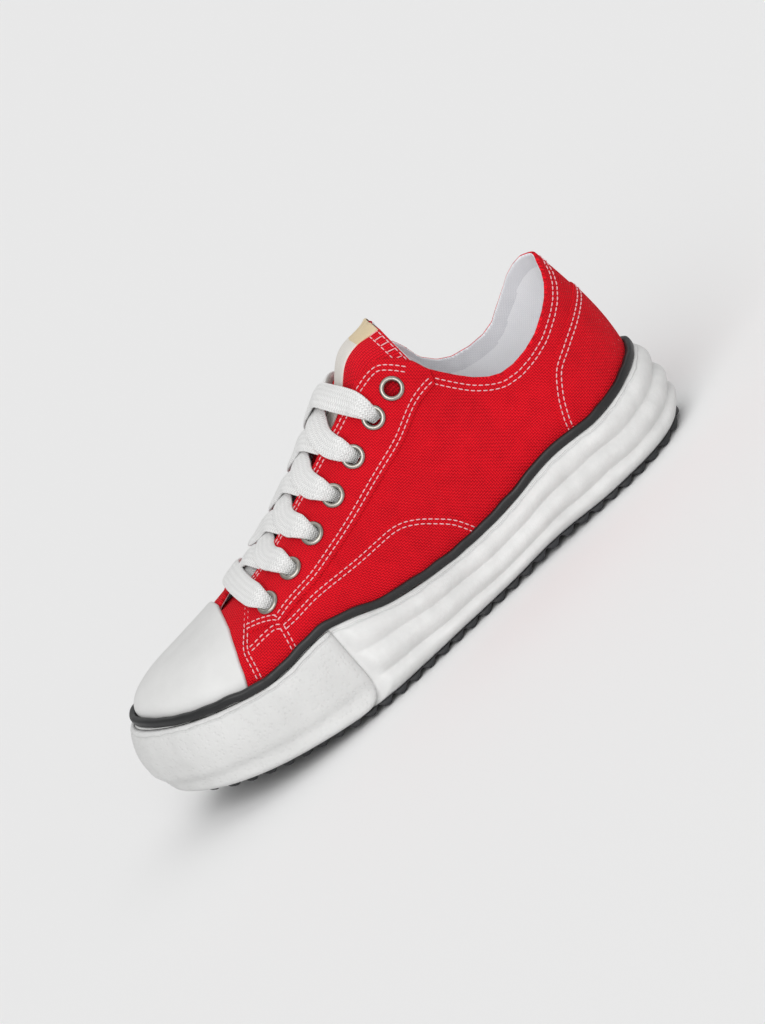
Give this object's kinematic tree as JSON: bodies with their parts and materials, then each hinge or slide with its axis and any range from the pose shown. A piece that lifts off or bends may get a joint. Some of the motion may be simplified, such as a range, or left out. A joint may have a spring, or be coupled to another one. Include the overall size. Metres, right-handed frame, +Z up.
{
  "type": "canvas sneaker",
  "caption": "Low red canvas sneaker, left shoe, with a thick wavy white rubber sole, white toe cap and flat white laces.",
  "frame": {"origin": "centre of the bounding box's bottom face, on the ground under the middle of the sole", "axes": "+X to the toe, +Y to the outer (little toe) side, +Z up"},
  "size_m": [0.3043, 0.1146, 0.1289],
  "materials": {
    "white_rubber": "satin",
    "bumper_rubber": "satin",
    "cap_rubber": "satin",
    "black_rubber": "matte",
    "stripe_rubber": "satin",
    "red_canvas": "matte",
    "tongue_canvas": "matte",
    "insole_fabric": "matte",
    "lace_cotton": "matte",
    "eyelet_nickel": "polished"
  },
  "bodies": {
    "root": {"outsole": "black_rubber", "midsole": "white_rubber", "toe_bumper": "bumper_rubber", "foxing_stripe": "stripe_rubber", "insole": "insole_fabric", "upper": "red_canvas", "toe_cap": "cap_rubber", "tongue": "tongue_canvas", "lace_bar": "lace_cotton", "lace_crossing_1": "lace_cotton", "lace_crossing_2": "lace_cotton", "lace_crossing_3": "lace_cotton", "lace_crossing_4": "lace_cotton", "lace_crossing_5": "lace_cotton", "eyelet_outer_1": "eyelet_nickel", "eyelet_outer_2": "eyelet_nickel", "eyelet_outer_3": "eyelet_nickel", "eyelet_outer_4": "eyelet_nickel", "eyelet_outer_5": "eyelet_nickel", "eyelet_outer_6": "eyelet_nickel", "eyelet_outer_7": "eyelet_nickel", "eyelet_inner_1": "eyelet_nickel", "eyelet_inner_2": "eyelet_nickel", "eyelet_inner_3": "eyelet_nickel", "eyelet_inner_4": "eyelet_nickel", "eyelet_inner_5": "eyelet_nickel", "eyelet_inner_6": "eyelet_nickel", "eyelet_inner_7": "eyelet_nickel"}
  },
  "joints": []
}
